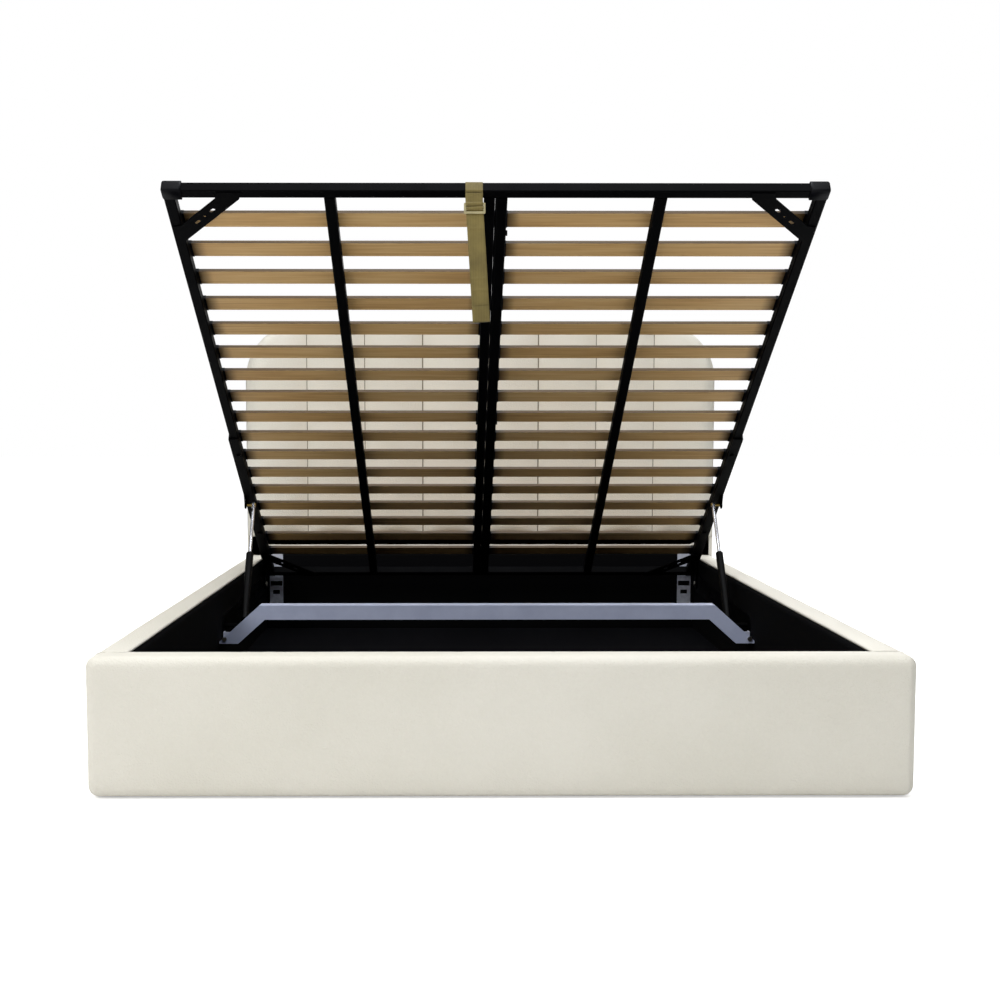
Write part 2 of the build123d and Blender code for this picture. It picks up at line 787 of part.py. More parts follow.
# Slats, straight across each half, and the holders that carry their ends
def slats_and_holders():
    first_along = frame_length - slat_first_offset - slat_width / 2
    places = [first_along - row * slat_pitch for row in range(slat_rows)]
    base = tube_size + slat_lift
    slat_inner = centre_gap / 2 + slat_end_on_centre
    slat_outer = frame_half - slat_end_on_side
    rows = []
    for side, hand in ((-1, "left"), (1, "right")):
        slat_x = side * (slat_inner + slat_outer) / 2
        with BuildPart() as slats:
            for along in places:
                with BuildSketch(section_plane(slat_x, along - slat_width / 2, base)):
                    with Locations((0, slat_thickness / 2)):
                        Rectangle(slat_outer - slat_inner, slat_thickness)
                extrude(amount=slat_width)
        save(slats, f"slats_{hand}")
        rows.append(slats.part)

    holder_height = slat_thickness + slat_lift + holder_wall
    grip = tube_size + holder_reach
    outer_low, outer_high = frame_half - grip, frame_half - tube_size + holder_tube_seat
    side_spans = [(outer_low, outer_high), (-outer_high, -outer_low)]
    centre_spans = [(-centre_gap / 2 - grip, centre_gap / 2 + grip)]
    for spans, name in ((side_spans, "side_slat_holders"), (centre_spans, "centre_slat_holders")):
        with BuildPart() as holders:
            for along in places:
                for low, high in spans:
                    with BuildSketch(section_plane((low + high) / 2, along - holder_width / 2, tube_size)):
                        with Locations((0, holder_height / 2)):
                            Rectangle(high - low, holder_height)
                    extrude(amount=holder_width)
            for row in rows:
                add(row, mode=Mode.SUBTRACT)
        save(holders, name)


# Bolts that join the two half frames through the centre bars
def frame_bolts():
    reach = centre_gap / 2 + tube_size
    with BuildPart() as bolts:
        for share in joining_bolt_shares:
            centre = deck_point(0, frame_length * share, tube_size / 2)
            plane = Plane(origin=(-reach, centre[1], centre[2]), x_dir=(0, 1, 0), z_dir=(1, 0, 0))
            with BuildSketch(plane):
                RegularPolygon(joining_bolt_head_radius, 6)
            extrude(amount=-joining_bolt_head_height)
            with BuildSketch(plane.offset(2 * reach)):
                RegularPolygon(joining_bolt_head_radius, 6)
            extrude(amount=joining_bolt_head_height)
    save(bolts, "frame_joining_bolts")


# Lift arms: steel angle along the side tubes, with ears for the hinge and the strut
def lift_arms():
    outer_x = frame_half + arm_thickness
    for side, hand in ((-1, "left"), (1, "right")):
        with BuildPart() as arm:
            with BuildSketch(profile_plane(side * frame_half, 0, 0)):
                with BuildLine():
                    Polyline(
                        (arm_head_end, tube_size), (arm_head_end, -arm_thickness),
                        (arm_length, -arm_thickness), (arm_length, tube_size), close=True,
                    )
                make_face()
                with Locations((frame_head_setback, -frame_pivot_rise)):
                    Circle(arm_ear_radius)
                ear_low = -frame_pivot_rise
                Polygon(
                    (frame_head_setback - arm_ear_radius, ear_low), (frame_head_setback + arm_ear_radius, ear_low),
                    (arm_ear_run, 0), (frame_head_setback - arm_ear_radius, 0), align=None,
                )
                with Locations((strut_pin_along, -strut_pin_drop)):
                    Circle(strut_ear_radius)
                Polygon(
                    (strut_pin_along - strut_ear_radius, -strut_pin_drop),
                    (strut_pin_along + strut_ear_radius, -strut_pin_drop),
                    (strut_pin_along + strut_ear_run, 0), (strut_pin_along - strut_ear_run, 0), align=None,
                )
                with Locations((frame_head_setback, -frame_pivot_rise)):
                    Circle(pin_radius + pin_running_clearance, mode=Mode.SUBTRACT)
            extrude(amount=-side * arm_thickness)
            flange_x = side * (outer_x - arm_flange / 2)
            with BuildSketch(section_plane(flange_x, arm_flange_start, -arm_thickness / 2)):
                Rectangle(arm_flange, arm_thickness)
            extrude(amount=arm_length - arm_flange_start)
        save(arm, f"lift_arm_{hand}")

    with BuildPart() as bolts:
        for side in (-1, 1):
            for share in arm_bolt_shares:
                with BuildSketch(deck_plane(side * side_tube_x, arm_length * share, -arm_thickness)):
                    RegularPolygon(arm_bolt_head_radius, 6)
                extrude(amount=-arm_bolt_head_height)
    save(bolts, "arm_bolts")


# Gas struts: a cylinder on the base plate's stud and a rod with its pin at the arm
def struts():
    for side, hand in ((-1, "left"), (1, "right")):
        foot, pin, swing = strut_line(side)
        reach = (pin - foot).length
        lean = (pin - foot).normalized()
        round_plane = Plane(origin=foot, x_dir=swing, z_dir=lean)
        long_plane = Plane(origin=foot, x_dir=lean, z_dir=swing)
        socket_plane = Plane(origin=foot, x_dir=swing.cross(lean), z_dir=swing)

        with BuildPart() as cylinder:
            with BuildSketch(long_plane):
                with BuildLine():
                    Polyline(
                        (cylinder_bottom, 0), (cylinder_bottom, cylinder_radius), (cylinder_top, cylinder_radius),
                        (cylinder_top, rod_radius + pin_running_clearance),
                        (cylinder_top - gland_length, rod_radius + pin_running_clearance),
                        (cylinder_top - gland_length, cylinder_bore),
                        (cylinder_bottom + cylinder_floor, cylinder_bore), (cylinder_bottom + cylinder_floor, 0),
                        close=True,
                    )
                make_face()
            revolve(axis=Axis(foot, lean))
            with BuildSketch(round_plane.offset(eye_neck_start)):
                Circle(eye_neck_radius)
            extrude(amount=cylinder_bottom + cylinder_floor / 2 - eye_neck_start)
            with BuildSketch(socket_plane.offset(-socket_back)):
                Circle(eye_radius)
            extrude(amount=socket_back + socket_mouth)
            with BuildSketch(socket_plane.offset(-socket_floor)):
                Circle(strut_pin_radius + pin_running_clearance)
            extrude(amount=socket_floor + socket_mouth, mode=Mode.SUBTRACT)
        save(cylinder, f"strut_cylinder_{hand}")

        with BuildPart() as rod:
            with BuildSketch(round_plane.offset(rod_inner_end)):
                Circle(cylinder_bore - piston_clearance)
            extrude(amount=piston_length)
            with BuildSketch(round_plane.offset(rod_inner_end)):
                Circle(rod_radius)
            extrude(amount=reach - rod_inner_end - eye_neck_start)
            with BuildSketch(round_plane.offset(reach - eye_neck_length)):
                Circle(eye_neck_radius)
            extrude(amount=eye_neck_length - eye_neck_start)
            with BuildSketch(side_view(pin.X - eye_thickness / 2)):
                with Locations((pin.Y, pin.Z)):
                    Circle(eye_radius)
            extrude(amount=eye_thickness)
            with BuildSketch(side_view(pin.X - eye_thickness / 2)):
                with Locations((pin.Y, pin.Z)):
                    Circle(strut_pin_radius)
            extrude(amount=eye_thickness, mode=Mode.SUBTRACT)
        save(rod, f"strut_rod_{hand}")

        inner_face = strut_x - eye_thickness / 2
        outer_face = strut_x + eye_thickness / 2
        with BuildPart() as pivot_pin:
            with BuildSketch(side_view(side * (frame_half - pin_travel_gap))):
                with Locations((pin.Y, pin.Z)):
                    Circle(strut_pin_radius)
            extrude(amount=-side * (frame_half - pin_travel_gap - inner_face + stud_clip_thickness))
            for face in (outer_face + stud_clip_thickness, inner_face):
                with BuildSketch(side_view(side * face)):
                    with Locations((pin.Y, pin.Z)):
                        RegularPolygon(stud_clip_radius, 6)
                extrude(amount=-side * stud_clip_thickness)
        save(pivot_pin, f"strut_pin_{hand}")


# Pull strap: a loop sewn round the foot tube, a tail that hangs and its slider
def strap():
    half = tube_size / 2
    band = tube_size + 2 * (strap_thickness + face_gap)
    loop_plane = Plane(
        origin=deck_point(strap_place - strap_width / 2, frame_length - half, half),
        x_dir=(0, sin(opening), cos(opening)), z_dir=(1, 0, 0),
    )
    with BuildPart() as loop:
        with BuildSketch(loop_plane):
            RectangleRounded(band, band, strap_loop_radius)
            RectangleRounded(
                band - 2 * strap_thickness, band - 2 * strap_thickness, strap_loop_radius - strap_thickness,
                mode=Mode.SUBTRACT,
            )
        extrude(amount=strap_width)
    save(loop, "strap_loop")

    corner = band / 2 - strap_loop_radius
    hang = deck_point(0, frame_length - half + corner, half - band / 2 - face_gap - strap_thickness / 2)
    tail_y = hang[1]
    tail_top = hang[2]
    half_web = strap_thickness / 2
    lean = tan(radians(strap_lean))
    drop = strap_length - strap_lean_start
    front = Plane(
        origin=(strap_place, tail_y - half_web, tail_top - strap_lean_start), x_dir=(1, 0, 0), z_dir=(0, -1, 0)
    )
    with BuildPart() as tail:
        with BuildSketch(side_view(strap_place - strap_width / 2)):
            with BuildLine():
                Polyline(
                    (tail_y + half_web, tail_top), (tail_y + half_web, tail_top - strap_lean_start),
                    (tail_y - half_web, tail_top - strap_lean_start), (tail_y - half_web, tail_top),
                )
                ThreePointArc(
                    (tail_y - half_web, tail_top), (tail_y, tail_top + half_web), (tail_y + half_web, tail_top)
                )
            make_face()
        extrude(amount=strap_width)
        with BuildSketch(front):
            Polygon(
                (-strap_width / 2, 0), (strap_width / 2, 0),
                (strap_width / 2 + drop * lean, -drop), (-strap_width / 2 + drop * lean, -drop), align=None,
            )
        extrude(amount=-strap_thickness)
    save(tail, "strap_tail")

    slider_x = strap_place + (slider_drop - strap_lean_start) * lean
    slider_plane = Plane(origin=(slider_x, tail_y, tail_top - slider_drop), x_dir=(1, 0, 0), z_dir=(0, -1, 0))
    window = (slider_height - 3 * slider_bar) / 2
    with BuildPart() as slider:
        with BuildSketch(slider_plane.offset(-slider_thickness / 2)):
            RectangleRounded(slider_width, slider_height, slider_bar / 2)
            with GridLocations(0, window + slider_bar, 1, 2):
                Rectangle(strap_width, window, mode=Mode.SUBTRACT)
        extrude(amount=slider_thickness)
        add(tail.part, mode=Mode.SUBTRACT)
    save(slider, "strap_slider")


footboard()
side_rail(-1, "left")
side_rail(1, "right")
storage_floor()
headboard()
rear_wall()
crossbar_parts()
foot_supports()
base_plates()
lid_frame()
gussets()
slats_and_holders()
frame_bolts()
lift_arms()
struts()
strap()
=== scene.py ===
import math

import bmesh
import bpy
from mathutils import Matrix, Vector, noise


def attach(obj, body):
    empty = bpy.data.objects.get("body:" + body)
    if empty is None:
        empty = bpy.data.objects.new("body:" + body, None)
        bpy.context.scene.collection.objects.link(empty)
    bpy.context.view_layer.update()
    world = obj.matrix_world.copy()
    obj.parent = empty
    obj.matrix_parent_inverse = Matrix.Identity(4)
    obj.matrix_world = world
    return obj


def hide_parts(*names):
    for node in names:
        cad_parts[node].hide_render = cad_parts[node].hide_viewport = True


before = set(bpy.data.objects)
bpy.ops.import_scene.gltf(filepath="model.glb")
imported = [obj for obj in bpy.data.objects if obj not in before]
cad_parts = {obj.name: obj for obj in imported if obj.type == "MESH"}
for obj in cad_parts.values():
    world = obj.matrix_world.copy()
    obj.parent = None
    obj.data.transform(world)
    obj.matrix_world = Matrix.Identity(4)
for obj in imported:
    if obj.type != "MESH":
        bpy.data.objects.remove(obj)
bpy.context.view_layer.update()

# Main sizes of the bed in metres, the same as the source's
half_width = 0.824
headboard_half = 0.820
front_y = -1.095
foot_inner_y = -1.029
board_front_y = 1.070
back_y = 1.095
rear_face_y = 1.050
inner_x = 0.753
glide_height = 0.003
box_height = 0.287
lining_top = 0.280
rear_panel_top = 0.316
rear_trim_height = 0.009
headboard_height = 1.100
headboard_corner = 0.200
cushion_bottom = 0.352
channel_pitch = 0.2015
channel_count = 8
crown_depth = 0.037
seam_depth = 0.020
opening = math.radians(31.83)
head_end_y = 1.02422
head_end_z = 0.21741
frame_length = 1.980
frame_half = 0.745
tube_size = 0.025
strap_place = -0.049
strap_width = 0.039
strap_thickness = 0.002
strap_length = 0.284
strap_loop_radius = 0.0045
strap_lean = math.radians(3.5)
strap_lean_start = 0.016
slider_drop = 0.034
face_gap = 0.0003
panel_round = 0.022
panel_inner_round = 0.006
lining_recess = 0.0022
headboard_edge_round = 0.034
slat_rows = 17
slat_pitch = 0.1068
first_slat_from_foot = 0.1306
holder_half = 0.0246
holder_height = 0.0112
holder_depth = 0.005
centre_holder_half = 0.030
stitch_length = 0.005
hem_length = 0.033


def linear(hex_colour):
    """An sRGB hex colour as linear RGBA."""
    parts = [int(hex_colour[i:i + 2], 16) / 255 for i in (1, 3, 5)]
    return [p / 12.92 if p <= 0.04045 else ((p + 0.055) / 1.055) ** 2.4 for p in parts] + [1.0]


def add_node(tree, kind, values=None, links=None, stops=None, **settings):
    """Adds one node with its settings, its input values, the sockets that feed it and any colour stops."""
    made = tree.nodes.new(kind)
    for name, value in settings.items():
        setattr(made, name, value)
    for name, value in (values or {}).items():
        made.inputs[name].default_value = value
    for name, source in (links or {}).items():
        tree.links.new(source, made.inputs[name])
    for i, (place, colour) in enumerate(stops or []):
        elements = made.color_ramp.elements
        element = elements[i] if i < len(elements) else elements.new(place)
        element.position = place
        element.color = linear(colour)
    return made


def start_material(name):
    """An empty node material and its Object coordinates."""
    made = bpy.data.materials.new(name)
    made.use_nodes = True
    tree = made.node_tree
    tree.nodes.clear()
    coords = add_node(tree, "ShaderNodeTexCoord")
    return made, tree, coords.outputs["Object"]


def end_material(tree, shader):
    add_node(tree, "ShaderNodeOutputMaterial", links={"Surface": shader.outputs["BSDF"]})


# Upholstery: polyurethane leathercloth, coated knit with an embossed pebble grain.
# The real pebble is about 1 mm; it is drawn at 3 mm so that it shows.
def leathercloth(name, light, dark, grain=0.003):
    made, tree, place = start_material(name)
    pebble = add_node(
        tree, "ShaderNodeTexVoronoi", {"Scale": 1 / grain, "Randomness": 1.0}, {"Vector": place},
        feature="SMOOTH_F1",
    )
    cloud = add_node(
        tree, "ShaderNodeTexNoise", {"Scale": 3.2, "Detail": 2.0, "Roughness": 0.5}, {"Vector": place}
    )
    fine = add_node(
        tree, "ShaderNodeTexNoise", {"Scale": 0.4 / grain, "Detail": 3.0, "Roughness": 0.6}, {"Vector": place}
    )
    tone = add_node(
        tree, "ShaderNodeMath", {1: 0.35}, {0: fine.outputs["Fac"], 2: cloud.outputs["Fac"]},
        operation="MULTIPLY_ADD",
    )
    colour = add_node(
        tree, "ShaderNodeValToRGB", links={"Fac": tone.outputs["Value"]}, stops=[(0.5, dark), (0.9, light)]
    )
    rough = add_node(
        tree, "ShaderNodeMapRange", {"From Min": 0.3, "From Max": 0.7, "To Min": 0.48, "To Max": 0.60},
        {"Value": fine.outputs["Fac"]},
    )
    bumps = add_node(
        tree, "ShaderNodeBump", {"Strength": 0.8, "Distance": 0.0012}, {"Height": pebble.outputs["Distance"]}
    )
    shader = add_node(
        tree, "ShaderNodeBsdfPrincipled", {"IOR": 1.46, "Specular IOR Level": 0.3},
        {
            "Base Color": colour.outputs["Color"], "Roughness": rough.outputs["Result"],
            "Normal": bumps.outputs["Normal"],
        },
    )
    end_material(tree, shader)
    return made


# Powder-coated steel: a baked polyester film with a fine orange-peel skin, satin and even.
# The peel's cells are about 1 mm; they are drawn at 2 mm.
def powder_coat(name, colour, shade, rough_low, rough_high, shine=0.5, peel=0.002):
    made, tree, place = start_material(name)
    skin = add_node(
        tree, "ShaderNodeTexNoise", {"Scale": 1 / peel, "Detail": 2.0, "Roughness": 0.5}, {"Vector": place}
    )
    cloud = add_node(
        tree, "ShaderNodeTexNoise", {"Scale": 14.0, "Detail": 4.0, "Roughness": 0.6}, {"Vector": place}
    )
    tint = add_node(
        tree, "ShaderNodeValToRGB", links={"Fac": cloud.outputs["Fac"]}, stops=[(0.35, shade), (0.7, colour)]
    )
    rough = add_node(
        tree, "ShaderNodeMapRange", {"From Min": 0.3, "From Max": 0.7, "To Min": rough_low, "To Max": rough_high},
        {"Value": cloud.outputs["Fac"]},
    )
    bumps = add_node(
        tree, "ShaderNodeBump", {"Strength": 0.20, "Distance": 0.0003}, {"Height": skin.outputs["Fac"]}
    )
    shader = add_node(
        tree, "ShaderNodeBsdfPrincipled", {"IOR": 1.5, "Specular IOR Level": shine},
        {
            "Base Color": tint.outputs["Color"], "Roughness": rough.outputs["Result"],
            "Normal": bumps.outputs["Normal"],
        },
    )
    end_material(tree, shader)
    return made


# Laminated birch: rotary-cut veneers pressed together, faced with a clear film.
# Grain runs across the bed, 2 to 4 mm lines; the edges show the dark glued plies, 1.3 mm each.
# The ends carry painted shade: they are darkened where the side tubes, the centre bars and the holders shade them.
def birch_laminate(name):
    made, tree, place = start_material(name)
    level = add_node(tree, "ShaderNodeMapping", {"Rotation": (-opening, 0, 0)}, {"Vector": place})
    stretched = add_node(
        tree, "ShaderNodeMapping", {"Scale": (1.8, 110.0, 60.0)}, {"Vector": level.outputs["Vector"]}
    )
    grain = add_node(
        tree, "ShaderNodeTexNoise", {"Scale": 2.6, "Detail": 5.0, "Roughness": 0.6, "Distortion": 0.3},
        {"Vector": stretched.outputs["Vector"]},
    )
    boards = add_node(
        tree, "ShaderNodeMapping", {"Scale": (1.6, 9.4, 1.0)}, {"Vector": level.outputs["Vector"]}
    )
    batch = add_node(
        tree, "ShaderNodeTexNoise", {"Scale": 1.0, "Detail": 1.0}, {"Vector": boards.outputs["Vector"]}
    )
    tone = add_node(
        tree, "ShaderNodeMath", {1: 0.55}, {0: batch.outputs["Fac"], 2: grain.outputs["Fac"]},
        operation="MULTIPLY_ADD",
    )
    face = add_node(
        tree, "ShaderNodeValToRGB", links={"Fac": tone.outputs["Value"]},
        stops=[(0.55, "#B78F5A"), (0.77, "#CBA46C"), (1.0, "#D8B680")],
    )
    plies = add_node(
        tree, "ShaderNodeTexWave", {"Scale": 120.0, "Distortion": 0.4},
        {"Vector": level.outputs["Vector"]}, bands_direction="Z",
    )
    layers = add_node(
        tree, "ShaderNodeValToRGB", links={"Fac": plies.outputs["Fac"]}, stops=[(0.3, "#2C2013"), (0.7, "#523F28")]
    )
    own = add_node(tree, "ShaderNodeTexCoord")
    sideways = add_node(
        tree, "ShaderNodeVectorMath", {1: (0.0, math.cos(opening), -math.sin(opening))},
        {0: own.outputs["Normal"]}, operation="DOT_PRODUCT",
    )
    on_edge = add_node(tree, "ShaderNodeMath", {}, {0: sideways.outputs["Value"]}, operation="ABSOLUTE")
    shown = add_node(
        tree, "ShaderNodeMapRange", {"From Min": 0.7, "From Max": 0.9, "To Min": 0.0, "To Max": 0.9},
        {"Value": on_edge.outputs["Value"]},
    )
    cut = add_node(
        tree, "ShaderNodeMixRGB", {},
        {"Fac": shown.outputs["Result"], "Color1": face.outputs["Color"], "Color2": layers.outputs["Color"]},
    )
    # Painted shade: the slat colour darkens over its last few centimetres next to the side tubes and the centre
    # bars
    spot = add_node(tree, "ShaderNodeSeparateXYZ", {}, {0: place})
    width = add_node(tree, "ShaderNodeMath", {}, {0: spot.outputs["X"]}, operation="ABSOLUTE")
    ends = add_node(
        tree, "ShaderNodeValToRGB", links={"Fac": width.outputs["Value"]},
        stops=[(0.024, "#4A4640"), (0.060, "#FFFFFF"), (0.685, "#FFFFFF"), (0.722, "#4A4640")],
    )
    slat_with_painted_end_shade = add_node(
        tree, "ShaderNodeMixRGB", {"Fac": 1.0}, {"Color1": cut.outputs["Color"], "Color2": ends.outputs["Color"]},
        blend_type="MULTIPLY",
    )
    pores = add_node(
        tree, "ShaderNodeBump", {"Strength": 0.25, "Distance": 0.0004}, {"Height": grain.outputs["Fac"]}
    )
    shader = add_node(
        tree, "ShaderNodeBsdfPrincipled", {"IOR": 1.48, "Roughness": 0.45, "Specular IOR Level": 0.3},
        {"Base Color": slat_with_painted_end_shade.outputs["Color"], "Normal": pores.outputs["Normal"]},
    )
    end_material(tree, shader)
    return made


# Spun-bonded lining: pressed black polypropylene fibre, matt with a faint fleck.
def spun_lining(name, colour, fleck):
    made, tree, place = start_material(name)
    fibre = add_node(
        tree, "ShaderNodeTexNoise", {"Scale": 420.0, "Detail": 5.0, "Roughness": 0.8}, {"Vector": place}
    )
    tint = add_node(
        tree, "ShaderNodeValToRGB", links={"Fac": fibre.outputs["Fac"]}, stops=[(0.45, colour), (0.75, fleck)]
    )
    bumps = add_node(
        tree, "ShaderNodeBump", {"Strength": 0.3, "Distance": 0.0004}, {"Height": fibre.outputs["Fac"]}
    )
    shader = add_node(
        tree, "ShaderNodeBsdfPrincipled", {"Roughness": 0.95, "Specular IOR Level": 0.04},
        {"Base Color": tint.outputs["Color"], "Normal": bumps.outputs["Normal"]},
    )
    end_material(tree, shader)
    return made


# Moulded plastic: a fine mould texture, slightly waxy. Sawn softwood under the cover is drawn with it too.
def moulded_plastic(name, colour, shade, rough=0.5, shine=0.5):
    made, tree, place = start_material(name)
    spark = add_node(
        tree, "ShaderNodeTexNoise", {"Scale": 700.0, "Detail": 3.0}, {"Vector": place}
    )
    tint = add_node(
        tree, "ShaderNodeValToRGB", links={"Fac": spark.outputs["Fac"]}, stops=[(0.4, shade), (0.65, colour)]
    )
    bumps = add_node(
        tree, "ShaderNodeBump", {"Strength": 0.15, "Distance": 0.0002}, {"Height": spark.outputs["Fac"]}
    )
    shader = add_node(
        tree, "ShaderNodeBsdfPrincipled", {"IOR": 1.49, "Roughness": rough, "Specular IOR Level": shine},
        {"Base Color": tint.outputs["Color"], "Normal": bumps.outputs["Normal"]},
    )
    end_material(tree, shader)
    return made


# Bare metal: pressed, ground or plated, with a cloudy finish.
def bare_metal(name, colour, shade, rough_low, rough_high, scale=90.0, metallic=1.0):
    made, tree, place = start_material(name)
    cloud = add_node(
        tree, "ShaderNodeTexNoise", {"Scale": scale, "Detail": 4.0, "Roughness": 0.6}, {"Vector": place}
    )
    tint = add_node(
        tree, "ShaderNodeValToRGB", links={"Fac": cloud.outputs["Fac"]}, stops=[(0.35, shade), (0.7, colour)]
    )
    rough = add_node(
        tree, "ShaderNodeMapRange", {"From Min": 0.3, "From Max": 0.7, "To Min": rough_low, "To Max": rough_high},
        {"Value": cloud.outputs["Fac"]},
    )
    bumps = add_node(
        tree, "ShaderNodeBump", {"Strength": 0.1, "Distance": 0.0002}, {"Height": cloud.outputs["Fac"]}
    )
    shader = add_node(
        tree, "ShaderNodeBsdfPrincipled", {"Metallic": metallic},
        {
            "Base Color": tint.outputs["Color"], "Roughness": rough.outputs["Result"],
            "Normal": bumps.outputs["Normal"],
        },
    )
    end_material(tree, shader)
    return made


# Woven polyester webbing: ribs across its width and warp lines along it.
# Real ribs are 1.2 mm apart; they are drawn at 2.4 mm.
def webbing(name, colour, shade, rib=0.0024):
    made, tree, place = start_material(name)
    ribs = add_node(
        tree, "ShaderNodeTexWave", {"Scale": math.pi / (10 * rib), "Distortion": 0.6, "Detail": 1.0},
        {"Vector": place}, bands_direction="Z",
    )
    warp = add_node(
        tree, "ShaderNodeTexWave", {"Scale": math.pi / (15 * rib), "Distortion": 0.4}, {"Vector": place},
        bands_direction="X",
    )
    weave = add_node(
        tree, "ShaderNodeMath", {}, {0: ribs.outputs["Fac"], 1: warp.outputs["Fac"]}, operation="MULTIPLY"
    )
    soil = add_node(
        tree, "ShaderNodeTexNoise", {"Scale": 22.0, "Detail": 3.0}, {"Vector": place}
    )
    tone = add_node(
        tree, "ShaderNodeMath", {1: 0.35}, {0: weave.outputs["Value"], 2: soil.outputs["Fac"]},
        operation="MULTIPLY_ADD",
    )
    tint = add_node(
        tree, "ShaderNodeValToRGB", links={"Fac": tone.outputs["Value"]}, stops=[(0.35, shade), (0.85, colour)]
    )
    bumps = add_node(
        tree, "ShaderNodeBump", {"Strength": 0.5, "Distance": 0.0005}, {"Height": weave.outputs["Value"]}
    )
    shader = add_node(
        tree, "ShaderNodeBsdfPrincipled", {"Roughness": 0.8, "Sheen Weight": 0.15},
        {"Base Color": tint.outputs["Color"], "Normal": bumps.outputs["Normal"]},
    )
    end_material(tree, shader)
    return made


cream_leathercloth = leathercloth("cream_leathercloth", "#E8E3D6", "#E2DDCF")
black_powder = powder_coat("black_powder_coated_steel", "#030304", "#010102", 0.52, 0.64, 0.04)
grey_powder = powder_coat("grey_powder_coated_steel", "#D2DAF4", "#C6CEE9", 0.40, 0.50)
black_paint = powder_coat("black_sprayed_cylinder", "#030304", "#020203", 0.34, 0.42, 0.08)
birch = birch_laminate("laminated_birch_slat")
black_lining = spun_lining("black_spun_bonded_lining", "#0C0C0D", "#161618")
dark_board = spun_lining("black_faced_hardboard", "#0D0D10", "#17171B")
black_plastic = moulded_plastic("black_moulded_polypropylene", "#08080C", "#050508", 0.5, 0.12)
tan_plastic = moulded_plastic("tan_moulded_acetal", "#BDB289", "#A99E77", 0.35)
pressed_steel = bare_metal("phosphated_pressed_steel", "#E2E5F0", "#C8CBD8", 0.5, 0.66, 90.0, 0.0)
zinc_plate = bare_metal("zinc_plated_steel", "#C9C4B8", "#A9A498", 0.3, 0.42)
brass_zinc = bare_metal("yellow_passivated_zinc", "#B59A5A", "#8F763E", 0.32, 0.45)
hard_chrome = bare_metal("ground_hard_chrome", "#E8E9EE", "#D4D5DC", 0.16, 0.26, 40.0)
khaki_webbing = webbing("khaki_polyester_webbing", "#84743D", "#605329")
khaki_thread = webbing("khaki_bonded_thread", "#5E5029", "#4C411F", 0.0012)
seam_thread = webbing("taupe_bonded_thread", "#7E7562", "#675E4C", 0.0012)
raw_timber = moulded_plastic("sawn_softwood", "#B08A5C", "#94704A", 0.8)


def finish_nodes(material, *names):
    """Gives CAD nodes a material in place of their own."""
    for name in names:
        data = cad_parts[name].data
        data.materials.clear()
        data.materials.append(material)


def pair(name):
    return [f"{name}_left", f"{name}_right"]


finish_nodes(raw_timber, "footboard_core", *pair("side_rail_core"), "headboard_board", "floor_battens")
finish_nodes(black_lining, "rear_panel")
finish_nodes(dark_board, "floor_board_foot", "floor_board_head", "foot_ledge", "corner_blocks")
finish_nodes(black_plastic, "glides")
finish_nodes(pressed_steel, "headboard_tie_plates", "crossbar_brackets")
finish_nodes(zinc_plate, "tie_plate_bolts", "crossbar_bolts", "hinge_pins")
finish_nodes(brass_zinc, *pair("strut_pin"))
finish_nodes(grey_powder, "crossbar")
finish_nodes(
    black_powder, *pair("base_plate"), *pair("foot_tube"), *pair("head_tube"), *pair("side_tube"),
    *pair("middle_bar"), *pair("centre_bar"), *pair("gussets"), *pair("lift_arm"),
    "frame_joining_bolts", "arm_bolts", "strut_studs",
)
finish_nodes(black_paint, *pair("strut_cylinder"))
finish_nodes(birch, *pair("slats"))
finish_nodes(hard_chrome, *pair("strut_rod"))
finish_nodes(tan_plastic, "strap_slider")


def new_piece(name, bm, material, body, smooth=True):
    """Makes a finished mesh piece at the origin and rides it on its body."""
    bmesh.ops.recalc_face_normals(bm, faces=bm.faces)
    data = bpy.data.meshes.new(name)
    bm.to_mesh(data)
    bm.free()
    data.materials.append(material)
    if smooth:
        data.shade_smooth()
    piece = bpy.data.objects.new(name, data)
    bpy.context.scene.collection.objects.link(piece)
    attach(piece, body)
    return piece


def waves(point, amount, size=0.16):
    """A soft unevenness of stretched upholstery, in metres."""
    return amount * noise.noise(Vector(point) / size)


def block(bm, low, high):
    """A plain block between two corners."""
    made = bmesh.ops.create_cube(bm, size=1.0)
    low, high = Vector(low), Vector(high)
    bmesh.ops.scale(bm, vec=high - low, verts=made["verts"])
    bmesh.ops.translate(bm, vec=(high + low) / 2, verts=made["verts"])
    return made["verts"]


def slice_at(bm, axis, places):
    """Cuts the whole mesh square to an axis at each place."""
    normal = Vector((axis == 0, axis == 1, axis == 2))
    for place in places:
        bmesh.ops.bisect_plane(
            bm, geom=bm.verts[:] + bm.edges[:] + bm.faces[:], dist=1e-6,
            plane_co=normal * place, plane_no=normal,
        )


def steps(low, high, count):
    return [low + (high - low) * i / count for i in range(1, count)]


def round_off(bm, edges, offset, segments):
    bmesh.ops.bevel(
        bm, geom=edges, offset=offset, offset_type="OFFSET", segments=segments, profile=0.5, affect="EDGES",
        material=-1,
    )


